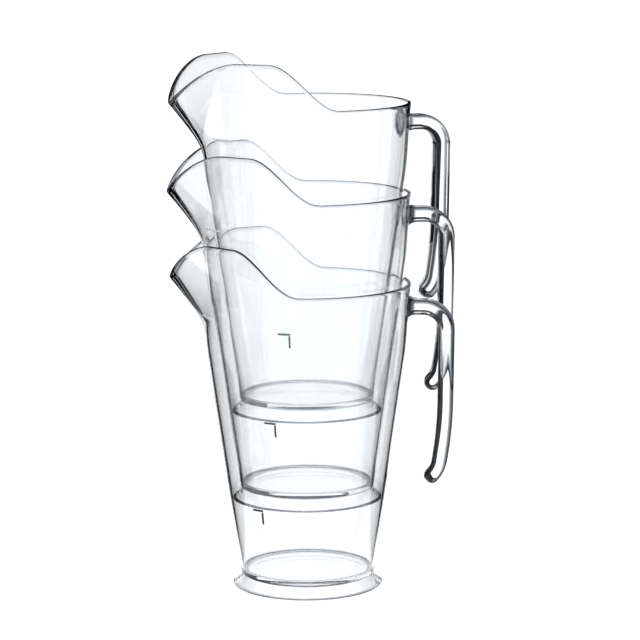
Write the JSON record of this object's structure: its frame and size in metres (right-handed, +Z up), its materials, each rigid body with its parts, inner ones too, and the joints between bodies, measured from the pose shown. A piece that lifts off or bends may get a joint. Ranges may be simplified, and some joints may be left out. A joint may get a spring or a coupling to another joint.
{
  "type": "stacked beer pitchers",
  "caption": "Nested stack of clear plastic beer pitchers, each a tapered jug with a pointed pouring lip, raised shoulders, a flared foot and a one-ended grip handle.",
  "frame": {"origin": "centre of the bottom pitcher's foot, in the plane it rests on", "axes": "+Z up along the pitchers' common axis, +X towards the bottom pitcher's handle, -X towards its pouring lip"},
  "size_m": [0.2103, 0.1548, 0.3902],
  "materials": {
    "clear_wall": "clear, polished",
    "clear_base": "clear, polished",
    "clear_grip": "clear, polished",
    "mark": "moulded line"
  },
  "bodies": {
    "bottom": {"bottom_wall": "clear_wall", "bottom_base": "clear_base", "bottom_handle": "clear_grip", "bottom_marks": "mark"},
    "middle": {"middle_wall": "clear_wall", "middle_base": "clear_base", "middle_handle": "clear_grip", "middle_marks": "mark"},
    "top": {"top_wall": "clear_wall", "top_base": "clear_base", "top_handle": "clear_grip", "top_marks": "mark"}
  },
  "joints": [
    {"name": "lift_middle", "type": "slide", "parent": "bottom", "child": "middle", "axis": [0, 0, 1], "range_m": [0, 0.2]},
    {"name": "lift_top", "type": "slide", "parent": "middle", "child": "top", "axis": [0, 0, 1], "range_m": [0, 0.2]}
  ]
}
